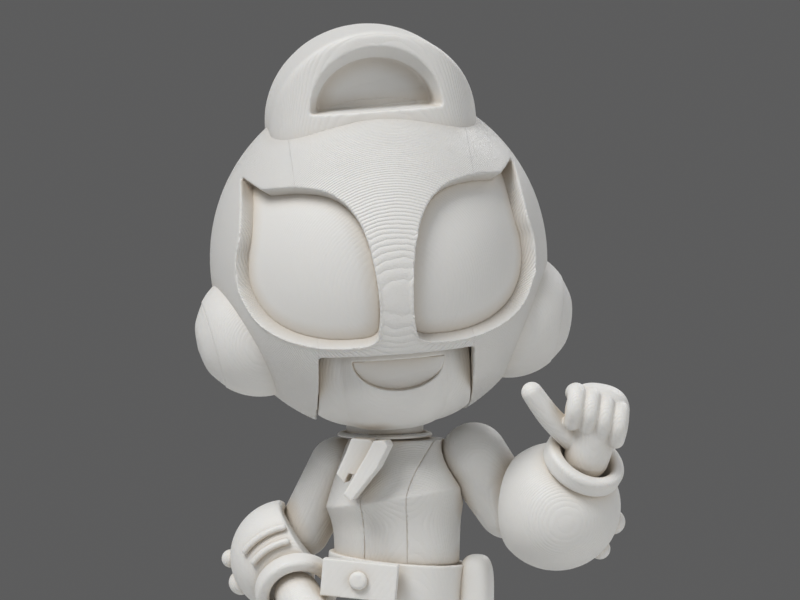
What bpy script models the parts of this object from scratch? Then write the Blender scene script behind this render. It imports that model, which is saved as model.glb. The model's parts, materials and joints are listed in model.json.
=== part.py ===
"""A small printed figure of a helmeted person: an arch-shaped crest on a round head, two big
recessed eye lenses, a jacket with panels, a slanted belt, bulbous gauntlets and boots.

It is an assembly of separate printed pieces. The bodies that move are the neck, the head, the
torso on the pelvis, and the joints of both arms and both legs. Sizes below are in millimetres
and become metres when a mesh is made. The figure faces -Y, so its left is +X, and it stands
on Z = 0.
"""

import math

import bmesh
import bpy
from mathutils import Matrix, Vector

MM = 0.001
GAP = 0.3  # between neighbours that touch
LONG = 60.0  # a cutter that runs past everything

# Where the whole figure's box is centred, so that its origin is under its middle.
BOX_MIDDLE = (3.75, 0.0)

# Head
HEAD_CENTRE = (0.0, 0.0, 66.7)
HEAD_YAW, HEAD_PITCH, HEAD_ROLL = 5.5, 4.0, -4.0
HELMET = (20.0, 20.3, 20.7)
HELMET_WALL = 2.2
LENS_SET_BACK = 1.8
LENS_WALL = 1.7
CORE_WALL = 2.4
NECK_PIVOT_BELOW = 11.7
SEAM_TOP = 10.4  # half the width of the front panel above the lenses
MOUTH_HALF = 9.05
MOUTH_TOP = -9.3
FACE = (9.6, 12.6, 10.2)
FACE_CENTRE = (0.0, -1.5, -10.0)
CREST_BASE = 16.3
CREST_HALF = 12.2
CREST_RISE = 11.4
CREST_FRONT = 12.5
CREST_BACK = 5.0
POCKET_DEPTH = 5.5
EAR_AT = (16.6, -2.4, -8.5)
EAR_TILT = 12.0

# Torso
SPINE_X = 2.2
TORSO_YAW = -13.0
JACKET_WALL = 1.5
JACKET_RINGS = (  # height, half width, front, back
    (45.3, 5.7, 4.0, 4.2),
    (43.8, 6.6, 4.8, 4.6),
    (41.5, 7.5, 6.6, 4.7),
    (38.5, 8.5, 8.1, 4.8),
    (35.2, 7.7, 6.6, 4.8),
    (30.6, 7.5, 6.2, 4.7),
)
BELT_TILT = 5.0
BELT_MIDDLE = 29.0
BELT_HEIGHT = 4.4
BELT_OUT = 0.6
BUCKLE_TURN = -7.0
PELVIS_TOP = 25.6

# Arms: shoulder, elbow and gauntlet centres, and the way the cuff faces
ARMS = {
    "left": {
        "shoulder": (11.3, -1.4, 43.3),
        "elbow": (15.4, -1.0, 37.2),
        "bulb": (21.0, -4.4, 37.6),
        "cuff_axis": (0.40, -0.545, 0.735),
        "hand_axis": (0.19, -0.32, 0.93),
        "shoulder_r": 4.0,
        "elbow_r": 3.8,
        "bulb_r": 7.4,
        "cuff_at": 6.6,
        "cut_axis": (-0.89, 0.45, 0.05),
        "cut_at": 4.9,
    },
    "right": {
        "shoulder": (-4.9, 3.2, 41.8),
        "elbow": (-9.0, 4.2, 33.9),
        "bulb": (-10.9, 0.9, 31.1),
        "cuff_axis": (0.18, -0.84, -0.51),
        "hand_axis": (0.34, -0.55, -0.76),
        "shoulder_r": 3.4,
        "elbow_r": 3.2,
        "bulb_r": 6.8,
        "cuff_at": 5.6,
        "cut_axis": (0.83, -0.1, 0.55),
        "cut_at": 2.9,
        "hip_side": -9.9,
    },
}
PEG_REACH = 1.3
KNOB_OUT = 0.9
KNOBS = {  # the way each stud points, and its radius
    "left": (((0.93, 0.25, -0.28), 1.5), ((0.70, 0.20, -0.70), 1.25)),
    "right": (((-0.98, 0.15, -0.05), 1.1), ((-0.86, 0.15, -0.50), 1.5)),
}
VENT_OUT = 0.8
VENT_ANGLES = (38.0, 23.0)  # up from the gauntlet's equator towards the cuff
VENT_MIDDLE = 122.0
VENT_SWEEP = 48.0
THUMBS = {
    "left": ((-1.8, 0.0, 1.8), (-5.2, -0.6, 4.4), (-8.0, -0.8, 7.2)),
    "right": ((1.6, 0.2, 3.8), (3.4, 0.4, 5.8)),
}
NECK_BORE = 2.4
NECK_POST = 2.0
NECK_BALL = 3.7
NECK_R = 4.6
NECK_REACH = 11.9  # from the pivot down to the foot of the post
SOCKET_BALL = 2.4
SHOULDER_PEG = 1.0
CUFF_R = 4.9
CUFF_BORE = 3.3
CUFF_HEIGHT = 2.2
WRIST_R = 2.6

# Legs
HIP = (4.9, 0.0, 20.8)
HIP_BALL = 3.4
KNEE = (6.4, -0.2, 14.6)
KNEE_BALL = 2.5
BOOT_CENTRE = (6.9, 0.0, 9.9)
BOOT = (5.1, 5.3, 5.6)
FOOT_TOE_OUT = 8.0
SOLE_HEIGHT = 1.2

WHITE = (0.80, 0.79, 0.76)

world_of = {}


def clear_scene():
    for obj in list(bpy.data.objects):
        bpy.data.objects.remove(obj)


def collection(name):
    made = bpy.data.collections.new(name)
    bpy.context.scene.collection.children.link(made)
    return made


clear_scene()
PARTS = collection("printed_figure")
CUTTERS = collection("cutters")
CUTTERS.hide_render = True


# ---------------------------------------------------------------- frames and objects


def turned_about(axis, degrees):
    return Matrix.Rotation(math.radians(degrees), 4, axis)


def facing(direction):
    """The rotation whose Z runs along direction, and whose X is as near to +X as it can be."""
    z = Vector(direction).normalized()
    x = (Vector((1, 0, 0)) - z.x * z).normalized()
    return Matrix((x, z.cross(x), z)).transposed().to_4x4()


def frame(name, parent=None, at=(0, 0, 0), turn=None):
    """An empty at a place in the figure's own frame, in millimetres, under a parent empty."""
    empty = bpy.data.objects.new(name, None)
    empty.empty_display_size = 4 * MM
    PARTS.objects.link(empty)
    world = Matrix.Translation(Vector(at) * MM) @ (turn or Matrix())
    if parent:
        empty.parent = bpy.data.objects[parent]
        empty.matrix_local = world_of[parent].inverted() @ world
    world_of[name] = world
    return name


def in_frame(name, point):
    """A point of a frame, in millimetres, as a place in the figure's own frame."""
    return world_of[name] @ (Vector(point) * MM) / MM


def plastic(name):
    found = bpy.data.materials.new(name)
    found.use_nodes = True
    shader = found.node_tree.nodes["Principled BSDF"]
    shader.inputs["Base Color"].default_value = (*WHITE, 1)
    shader.inputs["Roughness"].default_value = 0.6
    shader.inputs["Metallic"].default_value = 0.0
    return found


def place(obj, parent, cutter=False):
    obj.parent = bpy.data.objects[parent]
    if cutter:
        obj.hide_render = True
        obj.display_type = "WIRE"
        CUTTERS.objects.link(obj)
    else:
        obj.data.materials.append(plastic(obj.name))
        PARTS.objects.link(obj)
    return obj


def from_bmesh(name, mesh_builder, parent, cutter=False, smooth=True):
    """Scales a bmesh from millimetres to metres and makes its object."""
    bmesh.ops.scale(mesh_builder, vec=(MM, MM, MM), verts=mesh_builder.verts)
    bmesh.ops.recalc_face_normals(mesh_builder, faces=mesh_builder.faces)
    mesh = bpy.data.meshes.new(name)
    mesh_builder.to_mesh(mesh)
    mesh_builder.free()
    if smooth:
        mesh.shade_smooth()
        mesh.set_sharp_from_angle(angle=math.radians(35))
    return place(bpy.data.objects.new(name, mesh), parent, cutter)


# ---------------------------------------------------------------- shapes


def ellipsoid(name, parent, radii, at=(0, 0, 0), segments=24, rings=14, cutter=False):
    made = bmesh.new()
    bmesh.ops.create_uvsphere(made, u_segments=segments, v_segments=rings, radius=1)
    bmesh.ops.scale(made, vec=radii, verts=made.verts)
    bmesh.ops.translate(made, vec=at, verts=made.verts)
    return from_bmesh(name, made, parent, cutter)


def ball(name, parent, radius, at=(0, 0, 0), segments=12, rings=8, cutter=False):
    return ellipsoid(name, parent, (radius,) * 3, at, segments, rings, cutter)


def block(name, parent, low, high, cutter=False, bevel=0.0, segments=2):
    made = bmesh.new()
    size = [b - a for a, b in zip(low, high)]
    middle = [(a + b) / 2 for a, b in zip(low, high)]
    bmesh.ops.create_cube(made, size=1)
    bmesh.ops.scale(made, vec=size, verts=made.verts)
    bmesh.ops.translate(made, vec=middle, verts=made.verts)
    obj = from_bmesh(name, made, parent, cutter, smooth=False)
    return rounded(obj, bevel, segments) if bevel else obj


def rounded(obj, width, segments=2, angle=35):
    bevel = obj.modifiers.new("rounded_edges", "BEVEL")
    bevel.width = width * MM
    bevel.segments = segments
    bevel.limit_method = "ANGLE"
    bevel.angle_limit = math.radians(angle)
    return obj


def lathe(name, parent, profile, at=(0, 0, 0), steps=20, cutter=False, turn=None):
    """Turns a profile of (radius, height) points, listed from the top down, about its Z axis."""
    made = bmesh.new()
    points = [made.verts.new((radius, 0, height)) for radius, height in profile]
    for above, below in zip(points, points[1:]):
        made.edges.new((above, below))
    matrix = Matrix.Translation(at) @ (turn or Matrix())
    bmesh.ops.scale(made, vec=(MM, MM, MM), verts=made.verts)
    mesh = bpy.data.meshes.new(name)
    made.to_mesh(mesh)
    made.free()
    obj = place(bpy.data.objects.new(name, mesh), parent, cutter)
    matrix.translation *= MM
    obj.matrix_local = matrix
    screw = obj.modifiers.new("turned", "SCREW")
    screw.axis = "Z"
    screw.steps = screw.render_steps = steps
    screw.use_merge_vertices = True
    screw.merge_threshold = 1e-5
    screw.use_smooth_shade = True
    return obj


def arc(centre, radius, start, end, count):
    """Points (radius, height) on an arc, by angle in degrees above the horizontal."""
    angles = [math.radians(start + (end - start) * i / (count - 1)) for i in range(count)]
    found = [(centre[0] + radius * math.cos(a), centre[1] + radius * math.sin(a)) for a in angles]
    return [(max(r, 0.0), z) for r, z in found]


def limb_profile(top_radius, bottom_radius, length, count=4):
    """A tapered rod with round ends: the top ball is at height 0 and the bottom one at -length."""
    lean = math.degrees(math.asin((top_radius - bottom_radius) / length))
    top = arc((0, 0), top_radius, 90, lean, count)
    bottom = arc((0, -length), bottom_radius, lean, -90, count)
    return [(0, top_radius)] + top[1:] + bottom[:-1] + [(0, -length - bottom_radius)]


def ring_profile(bore, outer, low, high, chamfer=0.5):
    """A closed ring section, run from the top of its outer side down and back up the bore."""
    return [
        (bore, high),
        (outer - chamfer, high),
        (outer, high - chamfer),
        (outer, low + chamfer),
        (outer - chamfer, low),
        (bore, low),
        (bore, high),
    ]


def plate(name, parent, outline, low, high, cutter=False, curved=False, bevel=0.0):
    """An outline in X and Z, extruded along Y from low to high.

    An outline point is (x, z), or (x, z, "corner") on a curved outline where it is sharp.
    """
    curve = bpy.data.curves.new(name, "CURVE")
    curve.dimensions = "2D"
    curve.fill_mode = "BOTH"
    curve.extrude = (high - low) / 2 * MM
    curve.resolution_u = 3
    spline = curve.splines.new("BEZIER" if curved else "POLY")
    points = spline.bezier_points if curved else spline.points
    points.add(len(outline) - 1)
    for point, (x, z, *corner) in zip(points, outline):
        point.co = (x * MM, z * MM, 0) if curved else (x * MM, z * MM, 0, 1)
        if curved:
            kind = "VECTOR" if corner else "AUTO"
            point.handle_left_type = point.handle_right_type = kind
    spline.use_cyclic_u = True
    upright = turned_about("X", 90)
    upright.translation = Vector((0, (low + high) / 2 * MM, 0))
    return as_mesh(name, curve, parent, upright, cutter, bevel)


def as_mesh(name, curve, parent, matrix, cutter=False, bevel=0.0):
    """Turns curve data into a welded mesh object with the same matrix, and drops the curve."""
    obj = bpy.data.objects.new(name + "_curve", curve)
    bpy.context.scene.collection.objects.link(obj)
    bpy.context.view_layer.update()
    evaluated = obj.evaluated_get(bpy.context.evaluated_depsgraph_get())
    mesh = bpy.data.meshes.new_from_object(evaluated)
    bpy.data.objects.remove(obj)
    made = bmesh.new()
    made.from_mesh(mesh)
    bmesh.ops.remove_doubles(made, verts=made.verts, dist=1e-6)
    bmesh.ops.recalc_face_normals(made, faces=made.faces)
    bmesh.ops.transform(made, matrix=matrix, verts=made.verts)
    made.to_mesh(mesh)
    made.free()
    mesh.name = name
    made_obj = place(bpy.data.objects.new(name, mesh), parent, cutter)
    return rounded(made_obj, bevel) if bevel else made_obj


def rod(name, parent, route, radius, cutter=False):
    """A round bar through the points of a route, with flat caps."""
    curve = bpy.data.curves.new(name, "CURVE")
    curve.dimensions = "3D"
    curve.bevel_depth = radius * MM
    curve.bevel_resolution = 1
    curve.use_fill_caps = True
    spline = curve.splines.new("POLY")
    spline.points.add(len(route) - 1)
    for point, co in zip(spline.points, route):
        point.co = (*(Vector(co) * MM), 1)
    return as_mesh(name, curve, parent, Matrix(), cutter)


def loft(name, parent, rings, around=24, grow=0.0, cutter=False):
    """Skins oval rings of (height, half width, front, back), listed from the top down."""
    made = bmesh.new()
    loops = []
    for height, half_width, front, back in rings:
        loop = []
        for i in range(around):
            angle = 2 * math.pi * i / around
            depth = front if math.sin(angle) < 0 else back
            x = (half_width + grow) * math.cos(angle)
            y = (depth + grow) * math.sin(angle)
            loop.append(made.verts.new((x, y, height)))
        loops.append(loop)
    for upper, lower in zip(loops, loops[1:]):
        for i in range(around):
            j = (i + 1) % around
            made.faces.new((upper[i], lower[i], lower[j], upper[j]))
    made.faces.new(loops[0])
    made.faces.new(loops[-1])
    return from_bmesh(name, made, parent, cutter)


def boolean(obj, other, operation):
    made = obj.modifiers.new(operation.lower(), "BOOLEAN")
    made.operation = operation
    made.solver = "EXACT"
    made.object = other
    return obj


def cut(obj, *others):
    for other in others:
        boolean(obj, other, "DIFFERENCE")
    return obj


def keep(obj, *others):
    for other in others:
        boolean(obj, other, "INTERSECT")
    return obj


def join(obj, *others):
    for other in others:
        boolean(obj, other, "UNION")
    return obj


def by_manifold(obj):
    """Uses the manifold solver on a shell whose cuts the exact one loses. All its meshes are closed."""
    for modifier in obj.modifiers:
        if modifier.type == "BOOLEAN":
            modifier.solver = "MANIFOLD"
    return obj


def shrunk(radii, amount):
    return tuple(r - amount for r in radii)


# ---------------------------------------------------------------- the head

SIDES = (("left", 1), ("right", -1))

# One lens opening, seen from the front, for the figure's left side.
LENS_OUTLINE = (
    (15.4, 10.8, "corner"),
    (13.1, 9.1, "corner"),
    (9.9, 9.4),
    (6.9, 8.8),
    (4.4, 7.0),
    (2.9, 4.2),
    (2.1, -1.0),
    (2.1, -5.8),
    (2.9, -7.7),
    (6.0, -8.1),
    (9.4, -7.9),
    (12.9, -6.9),
    (15.7, -4.9),
    (17.4, -1.6),
    (17.6, 2.0),
    (16.9, 5.2),
)


def mirrored(outline, side):
    return [(side * x, z, *corner) for x, z, *corner in outline]


def scaled_outline(outline, middle, factor):
    return [
        (middle[0] + (x - middle[0]) * factor, middle[1] + (z - middle[1]) * factor, *corner)
        for x, z, *corner in outline
    ]


def half_moon(half_width, base, rise, count=9, drop=0.0):
    """A D shape lying on its straight side: an arch on short upright sides."""
    outline = [(-half_width, base - drop)] if drop else []
    for i in range(count):
        angle = math.pi * (1 - i / (count - 1))
        outline.append((half_width * math.cos(angle), base + rise * math.sin(angle)))
    return outline + ([(half_width, base - drop)] if drop else [])


def helmet_tools():
    """The cutters that the helmet, the lenses and the face share."""
    head = "head_frame"
    tools = {"inside": ellipsoid("helmet_inside", head, shrunk(HELMET, HELMET_WALL), cutter=True)}
    for name, grow in (("front_zone", 0.0), ("front_zone_clear", GAP)):
        top, low = SEAM_TOP + grow, MOUTH_HALF + grow
        outline = [(-top, LONG), (-top, 0), (-low, 0), (-low, -LONG)]
        outline += [(low, -LONG), (low, 0), (top, 0), (top, LONG)]
        tools[name] = plate(name, head, outline, -LONG, 2.0, cutter=True)
    tools["mouth"] = block(
        "mouth_opening", head, (-MOUTH_HALF, -LONG, -LONG), (MOUTH_HALF, -4, MOUTH_TOP), cutter=True
    )
    tools["neck"] = block("neck_opening", head, (-7, -5, -LONG), (7, 7, -14), cutter=True)
    for side_name, side in SIDES:
        outline = mirrored(LENS_OUTLINE, side)
        inner = scaled_outline(outline, (side * 9.8, 0.6), 0.962)
        tools["lens_" + side_name] = plate(
            "lens_opening_" + side_name, head, outline, -LONG, 0, cutter=True, curved=True
        )
        tools["lens_inset_" + side_name] = plate(
            "lens_edge_" + side_name, head, inner, -LONG, -1, cutter=True, curved=True
        )
        low, high = sorted((side, side * LONG))
        tools[side_name] = block(
            "half_" + side_name, head, (low, -LONG, -LONG), (high, 1.7, LONG), cutter=True
        )
    tools["back"] = block("back_half", head, (-LONG, 2.0, -LONG), (LONG, LONG, LONG), cutter=True)
    return tools


def helmet(tools):
    head = "head_frame"
    openings = (tools["lens_left"], tools["lens_right"], tools["mouth"])
    front = ellipsoid("helmet_front", head, HELMET)
    cut(keep(cut(front, tools["inside"]), tools["front_zone"]), *openings, tools["neck"])
    below = block("front_under", head, (-LONG, -LONG, -LONG), (LONG, LONG, -12), cutter=True)
    cut(front, below)
    for side_name, _ in SIDES:
        shell = ellipsoid("helmet_side_" + side_name, head, HELMET)
        cut(keep(cut(shell, tools["inside"]), tools[side_name]), tools["front_zone_clear"])
        cut(shell, tools["lens_" + side_name], tools["neck"], tools["ear_" + side_name])
    shell = ellipsoid("helmet_back", head, HELMET)
    cut(keep(cut(shell, tools["inside"]), tools["back"]), tools["neck"])
    cut(shell, tools["ear_left"], tools["ear_right"])


def lenses(tools):
    outer = shrunk(HELMET, LENS_SET_BACK)
    hollow = ellipsoid(
        "lens_hollow", "head_frame", shrunk(outer, LENS_WALL), cutter=True
    )
    for side_name, _ in SIDES:
        lens = ellipsoid("lens_" + side_name, "head_frame", outer)
        cut(keep(lens, tools["lens_inset_" + side_name]), hollow)


def head_core():
    """A hollow ball inside the helmet, with a snap opening for the neck ball and a face notch."""
    outer = shrunk(HELMET, LENS_SET_BACK + LENS_WALL + GAP)
    core = ellipsoid("head_core", "head_frame", outer, segments=16, rings=10)
    hollow = ellipsoid(
        "core_hollow", "head_frame", shrunk(outer, CORE_WALL), segments=12, rings=8, cutter=True
    )
    neck_hole = lathe(
        "core_neck_hole", "head_frame", [(0, -8), (3.4, -8), (3.4, -30), (0, -30)], cutter=True
    )
    notch = block(
        "core_face_notch", "head_frame", (-8.4, -LONG, -LONG), (8.4, -6.1, -8.6), cutter=True
    )
    cut(core, hollow, neck_hole, notch)


def face():
    """The chin and cheeks, rounded back to the throat, with a smile cut in for its inlay."""
    head = "head_frame"
    chin = ellipsoid("face_plate", head, FACE, at=FACE_CENTRE, segments=20, rings=12)
    limits = block("face_limits", head, (-8.1, -LONG, -LONG), (8.1, -6.4, -9.6), cutter=True)
    smile = half_moon(5.5, -10.3, -4.4, count=9)
    mouth = plate("smile_cut", head, smile, -LONG, -10.9, cutter=True)
    cut(keep(chin, limits), mouth)
    inlay = [(x * 0.92, -10.6 + (z + 10.3) * 0.85) for x, z in smile]
    plate("mouth_inlay", head, inlay, -11.7, -10.9 - GAP)


def crest():
    """The arch on top: a half-moon block that follows the helmet, with a blind hand-hold pocket."""
    head = "head_frame"
    arch = half_moon(CREST_HALF, CREST_BASE, CREST_RISE, count=13, drop=9.0)
    body = plate("crest", head, arch, -CREST_FRONT - 2, CREST_BACK)
    footprint = lathe(
        "crest_footprint",
        head,
        [(0, 40), (CREST_FRONT, 40), (CREST_FRONT, 0), (0, 0)],
        steps=20,
        cutter=True,
    )
    seat = ellipsoid("crest_seat", head, shrunk(HELMET, -GAP), cutter=True)
    keep(body, footprint)
    rounded(body, 1.6, angle=50)
    inner = half_moon(7.4, 18.2, 6.2, count=9)
    pocket = plate("crest_pocket", head, inner, -LONG, -CREST_FRONT + POCKET_DEPTH, cutter=True)
    cut(body, seat, pocket)


def ear_frames():
    for side_name, side in SIDES:
        centre = (side * EAR_AT[0], EAR_AT[1], EAR_AT[2])
        down = math.radians(EAR_TILT)
        axis = world_of["head_frame"].to_3x3() @ Vector((side * math.cos(down), 0, -math.sin(down)))
        frame("ear_frame_" + side_name, "head_frame", in_frame("head_frame", centre), facing(axis))


def ear_openings(tools):
    for side_name, _ in SIDES:
        hole = [(0, 8), (7.0, 8), (7.0, -1.6), (0, -1.6)]
        tools["ear_" + side_name] = lathe(
            "ear_opening_" + side_name, "ear_frame_" + side_name, hole, cutter=True
        )


def ears():
    """Each ear pod is a tapered ring set in the helmet with a domed cap in the ring."""
    for side_name, _ in SIDES:
        parent = "ear_frame_" + side_name
        ring = [(3.2, 4.6), (5.0, 4.6), (5.9, 3.9), (6.5, 2.6), (6.7, 1.2), (6.7, -0.6)]
        lathe("ear_ring_" + side_name, parent, ring + [(3.2, -0.6), (3.2, 4.6)], steps=18)
        cap = [(0, 6.0), (2.4, 5.8), (4.1, 5.3), (4.9, 4.9), (2.9, 4.9), (2.9, 0.4), (0, 0.4)]
        lathe("ear_cap_" + side_name, parent, cap, steps=18)


def build_head():
    ear_frames()
    tools = helmet_tools()
    ear_openings(tools)
    helmet(tools)
    lenses(tools)
    head_core()
    face()
    crest()
    ears()


# ---------------------------------------------------------------- the torso


def arm_reliefs():
    """What the jacket and the gauntlets leave free round each upper arm, and the peg holes."""
    tools = {}
    for side_name, side in SIDES:
        arm = ARMS[side_name]
        profile = sleeve_profile(arm, grow=GAP)
        sleeve = "sleeve_frame_" + side_name
        relief = lathe("sleeve_relief_" + side_name, sleeve, profile, steps=14, cutter=True)
        route = [(0, 0, 0), (-side * (arm["shoulder_r"] + PEG_REACH + GAP), 0, 0)]
        hole = "peg_hole_" + side_name
        parent = "shoulder_axis_" + side_name
        tools[side_name] = (relief, rod(hole, parent, route, SHOULDER_PEG + GAP, cutter=True))
    return tools


def jacket_strip(grow):
    """The front strip between the two front seams, which open out towards the collar."""
    half = ((2.6, 28.0), (2.6, 34.0), (2.9, 38.6), (3.7, 42.0), (5.4, 46.5))
    left = [(-(x + grow), z) for x, z in half]
    right = [(x + grow, z) for x, z in reversed(half)]
    return left + right


def jacket(reliefs):
    """Four shell panels around the torso core: a front strip, two sides and a back."""
    torso = "torso_frame"
    core_rings = [(z, w - JACKET_WALL, f - JACKET_WALL, b - JACKET_WALL) for z, w, f, b in JACKET_RINGS]
    inside = loft("jacket_inside", torso, core_rings, cutter=True, grow=GAP)
    scale_ends(inside)
    strip = plate("strip_zone", torso, jacket_strip(0), -LONG, -1, cutter=True)
    strip_clear = plate("strip_zone_clear", torso, jacket_strip(GAP), -LONG, 0, cutter=True)
    back = block("back_zone", torso, (-LONG, 1.4, 0), (LONG, LONG, LONG), cutter=True)
    hem = jacket_hem()
    front = loft("jacket_front", torso, JACKET_RINGS)
    cut(keep(cut(front, inside), strip), hem)
    for side_name, side in SIDES:
        low, high = sorted((side, side * LONG))
        zone = block("side_zone_" + side_name, torso, (low, -LONG, 0), (high, 1.1, LONG), cutter=True)
        panel = loft("jacket_" + side_name, torso, JACKET_RINGS)
        by_manifold(cut(keep(cut(panel, *reliefs[side_name], inside), zone), strip_clear, hem))
    panel = loft("jacket_back", torso, JACKET_RINGS)
    by_manifold(cut(keep(cut(panel, *reliefs["left"], *reliefs["right"], inside), back), hem))
    core = loft("torso_core", torso, core_rings)
    bore = [(0, 9), (NECK_BORE, 9), (NECK_BORE, -GAP), (0, -GAP)]
    neck_hole = lathe("neck_bore", "neck_axis", bore, at=(0, 0, -NECK_REACH), steps=12, cutter=True)
    spigot_hole = lathe("spigot_bore", torso, [(0, 35.4), (2.8, 35.4), (2.8, 20), (0, 20)], cutter=True)
    by_manifold(cut(core, neck_hole, spigot_hole, *reliefs["left"], *reliefs["right"]))


def scale_ends(inside):
    """Runs the inside cutter past both ends of the jacket."""
    heights = [vert.co.z for vert in inside.data.vertices]
    top, bottom = max(heights), min(heights)
    for vert in inside.data.vertices:
        if vert.co.z == top:
            vert.co.z += 3 * MM
        elif vert.co.z == bottom:
            vert.co.z -= 3 * MM


def jacket_hem():
    """Everything under the slanted top edge of the belt, with a gap to it."""
    top = BELT_HEIGHT / 2 + GAP
    return block("jacket_hem", "belt_frame", (-LONG, -LONG, -LONG), (LONG, LONG, top), cutter=True)


def collar():
    top, foot, bore = -8.5, -9.5, NECK_R + GAP
    profile = [(bore, top), (bore + 0.8, top), (bore + 1.3, foot), (NECK_BORE, foot)]
    profile += [(NECK_BORE, foot + 0.2), (bore, foot + 0.2), (bore, top)]
    lathe("collar", "neck_axis", profile, steps=20)


def scarf():
    """A folded scarf end lying on the right front panel, and a tail that crosses it."""
    wide = [(-1.0, 46.2), (-3.2, 46.3), (-3.9, 44.2), (-5.0, 41.8), (-4.4, 41.1), (-4.0, 40.7)]
    wide += [(-3.5, 41.9), (-2.4, 41.5), (-0.4, 45.4)]
    plate("scarf_end", "scarf_frame", wide, -1.2, -0.3)
    tail = [(1.0, 45.9), (-0.3, 45.8), (-1.1, 44.3), (-3.9, 39.5), (-3.0, 38.7), (0.1, 42.6), (1.4, 45.2)]
    plate("scarf_tail", "scarf_frame", tail, -2.5, -1.5)


def belt():
    """A band round the hips, a wide buckle plate with a plain round boss, and a pouch."""
    parent = "belt_frame"
    half = BELT_HEIGHT / 2
    inner = (7.8, 6.5, 5.0)
    rings = [(z, inner[0] + BELT_OUT, inner[1] + BELT_OUT, inner[2] + BELT_OUT) for z in (half, -half)]
    bore = [(z, *inner) for z in (half + 4, -half - 4)]
    band = loft("belt", parent, rings)
    bore_tool = loft("belt_bore", parent, bore, cutter=True)
    cut(band, bore_tool)
    block("buckle", "buckle_frame", (-4.6, -1.2, -half), (4.3, 0, half), bevel=0.3, segments=1)
    boss = [(0, 0.9), (0.9, 0.9), (1.1, 0.7), (1.1, 0), (0, 0)]
    toward = turned_about("X", 90)
    lathe("buckle_boss", "buckle_frame", boss, at=(0, -1.5, 0), steps=12, turn=toward)


def build_torso():
    jacket(arm_reliefs())
    collar()
    scarf()
    belt()
    pouch_low, pouch_high = (0.0, -2.6, -4.0), (3.2, 2.6, 5.0)
    block("hip_pouch", "pouch_frame", pouch_low, pouch_high, bevel=1.2)


def build_neck():
    """A post with a ball on top: the head turns and nods on it, and it turns in the torso."""
    top, foot = -6.5, -9.0
    profile = [(0, NECK_BALL)] + arc((0, 0), NECK_BALL, 65, -52, 5)
    profile += [(NECK_POST, -4.4), (NECK_POST, top + 0.9), (NECK_R - 0.8, top), (NECK_R, top - 0.6)]
    profile += [(NECK_R, foot), (NECK_POST, foot), (NECK_POST, -NECK_REACH), (0, -NECK_REACH)]
    lathe("neck_post", "neck_axis", profile, steps=12)


# ---------------------------------------------------------------- the arms


def arm_frames(side_name):
    """The empties of one arm: shoulder, upper arm, elbow and wrist, and those its pieces lie in."""
    arm = ARMS[side_name]
    torso_turn = world_of["torso_frame"].to_3x3().to_4x4()
    shoulder = frame("shoulder_axis_" + side_name, "torso_frame", arm["shoulder"], torso_turn)
    upper = frame("arm_axis_" + side_name, shoulder, arm["shoulder"], torso_turn)
    reach = Vector(arm["shoulder"]) - Vector(arm["elbow"])
    frame("sleeve_frame_" + side_name, upper, arm["shoulder"], facing(reach))
    elbow = frame("elbow_axis_" + side_name, upper, arm["elbow"])
    bulb = frame("bulb_frame_" + side_name, elbow, arm["bulb"], facing(arm["cuff_axis"]))
    wrist_at = in_frame(bulb, (0, 0, arm["cuff_at"] + CUFF_HEIGHT - 0.4))
    wrist = frame("wrist_axis_" + side_name, elbow, wrist_at, facing(arm["cuff_axis"]))
    frame("hand_frame_" + side_name, wrist, wrist_at, facing(arm["hand_axis"]))


def sleeve_profile(arm, grow=0.0):
    length = (Vector(arm["shoulder"]) - Vector(arm["elbow"])).length
    return limb_profile(arm["shoulder_r"] + grow, arm["elbow_r"] + grow, length)


def shoulder_piece(side_name, side):
    """A ball for the arm's socket, on a peg that turns in the torso core."""
    parent = "shoulder_axis_" + side_name
    peg_in = ARMS[side_name]["shoulder_r"] + PEG_REACH
    peg = rod("shoulder_" + side_name, parent, [(0, 0, 0), (-side * peg_in, 0, 0)], SHOULDER_PEG)
    join(peg, ball("shoulder_ball_" + side_name, parent, SOCKET_BALL, cutter=True))


def upper_arm(side_name, side):
    """A tapered sleeve with round ends; a slot lets it rise on the shoulder's ball and peg."""
    upper = "arm_axis_" + side_name
    profile = sleeve_profile(ARMS[side_name])
    limb = lathe("upper_arm_" + side_name, "sleeve_frame_" + side_name, profile, steps=14)
    socket = ball("arm_socket_" + side_name, upper, SOCKET_BALL + GAP, cutter=True)
    half = SHOULDER_PEG + GAP
    low, high = sorted((0, -side * LONG))
    slot = block("arm_slot_" + side_name, upper, (low, -half, -3.0), (high, half, 3.0), cutter=True)
    cut(limb, socket, slot)


def bulb_profile(arm):
    """A round gauntlet whose top is flat where the cuff sits, with a well for the wrist."""
    radius, top = arm["bulb_r"], arm["cuff_at"]
    lean = math.degrees(math.asin(top / radius))
    return [(0, 2.6), (CUFF_BORE, 2.6), (CUFF_BORE, top)] + arc((0, 0), radius, lean, -90, 7)


def gauntlet(side_name):
    arm = ARMS[side_name]
    bulb_frame = "bulb_frame_" + side_name
    bulb = lathe("gauntlet_" + side_name, bulb_frame, bulb_profile(arm), steps=16)
    low, high = (-LONG, -LONG, arm["cut_at"]), (LONG, LONG, LONG)
    entry = frame("entry_frame_" + side_name, bulb_frame, arm["bulb"], facing(arm["cut_axis"]))
    cut(bulb, block("gauntlet_entry_" + side_name, entry, low, high, cutter=True))
    cut(bulb, bpy.data.objects["sleeve_relief_" + side_name])
    if "hip_side" in arm:
        low, high = (arm["hip_side"], -LONG, 0), (LONG, LONG, LONG)
        cut(bulb, block("gauntlet_hip_side", "pelvis_frame", low, high, cutter=True))
    low, top = arm["cuff_at"] + GAP, arm["cuff_at"] + CUFF_HEIGHT
    lathe("cuff_" + side_name, bulb_frame, ring_profile(CUFF_BORE, CUFF_R, low, top), steps=16)
    return bulb


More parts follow.
